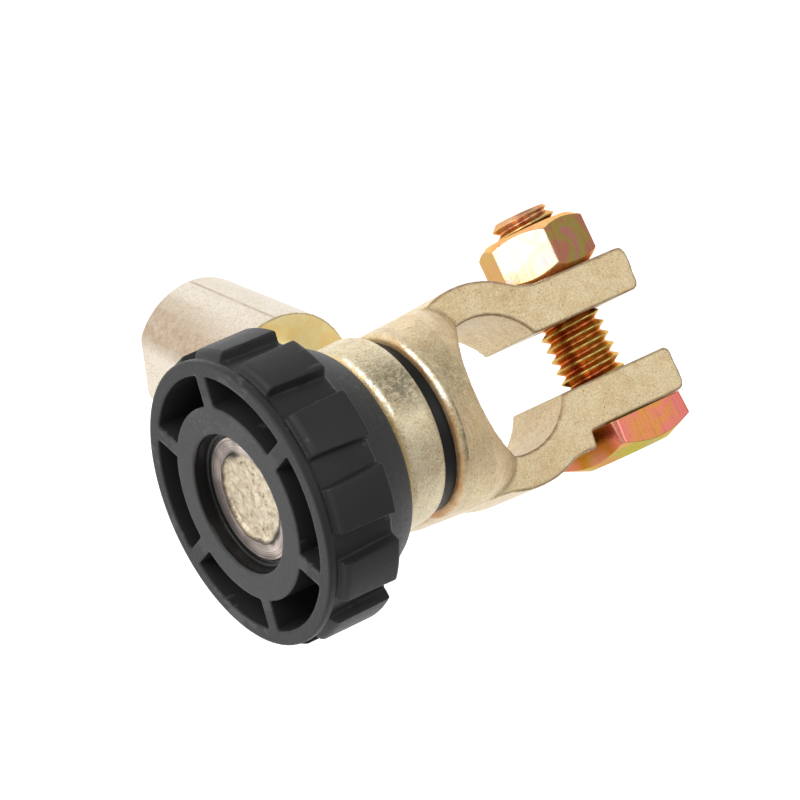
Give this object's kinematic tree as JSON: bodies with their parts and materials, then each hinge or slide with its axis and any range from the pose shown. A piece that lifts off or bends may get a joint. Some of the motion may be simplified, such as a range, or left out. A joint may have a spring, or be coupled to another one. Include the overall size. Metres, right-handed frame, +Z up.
{
  "type": "battery disconnect switch",
  "caption": "Battery disconnect switch: a screw-down hand knob and swivelling cable post on a split clamp for a battery's round post, closed by a bolt and nut.",
  "frame": {"origin": "on the axis of the battery post bore, at the clamp's lower face", "axes": "+X along the main axis from the knob to the clamp's ears, +Y along the clamp bolt from its head to the nut, +Z up along the battery post"},
  "size_m": [0.0623, 0.0451, 0.0526],
  "materials": {
    "cast_brass": "satin, speckled as cast and plated",
    "post_cast": "satin, speckled as cast and plated",
    "rivet_brass": "turned",
    "screw_metal": "turned, rough cast centre",
    "knob_plastic": "matte moulded",
    "washer_plastic": "slight sheen",
    "bush_plastic": "plain",
    "seal_rubber": "plain",
    "bolt_zinc": "yellow chromate over zinc, iridescent",
    "nut_zinc": "yellow chromate over zinc, iridescent"
  },
  "bodies": {
    "clamp": {"clamp_body": "cast_brass", "contact_rivet": "rivet_brass", "insulating_washer": "washer_plastic", "insulating_bush": "bush_plastic"},
    "terminal": {"post_terminal": "post_cast"},
    "seal": {"sealing_ring": "seal_rubber"},
    "hand_knob": {"knob": "knob_plastic", "contact_screw": "screw_metal"},
    "bolt": {"clamp_bolt": "bolt_zinc"},
    "nut": {"clamp_nut": "nut_zinc"}
  },
  "joints": [
    {"name": "terminal_swivel", "type": "hinge", "parent": "clamp", "child": "terminal", "pos_m": [-0.018, 0, 0.012], "axis": [1, 0, 0], "continuous": true},
    {"name": "knob_travel", "type": "slide", "parent": "terminal", "child": "seal", "axis": [-1, 0, 0], "range_m": [0, 0.003]},
    {"name": "knob_turn", "type": "hinge", "parent": "seal", "child": "hand_knob", "pos_m": [-0.03, 0, 0.012], "axis": [-1, 0, 0], "range_deg": [0, 720]},
    {"name": "nut_turn", "type": "hinge", "parent": "clamp", "child": "nut", "pos_m": [0.01665, 0.0125, 0.0062], "axis": [0, 1, 0], "range_deg": [0, 360]},
    {"name": "bolt_slide", "type": "slide", "parent": "clamp", "child": "bolt", "axis": [0, -1, 0], "range_m": [0, 0.00145]}
  ],
  "couplings": [
    {"joint": "knob_turn", "follows": "knob_travel", "rad_per_m": 4188.8},
    {"joint": "nut_turn", "follows": "bolt_slide", "rad_per_m": 4333.2}
  ]
}
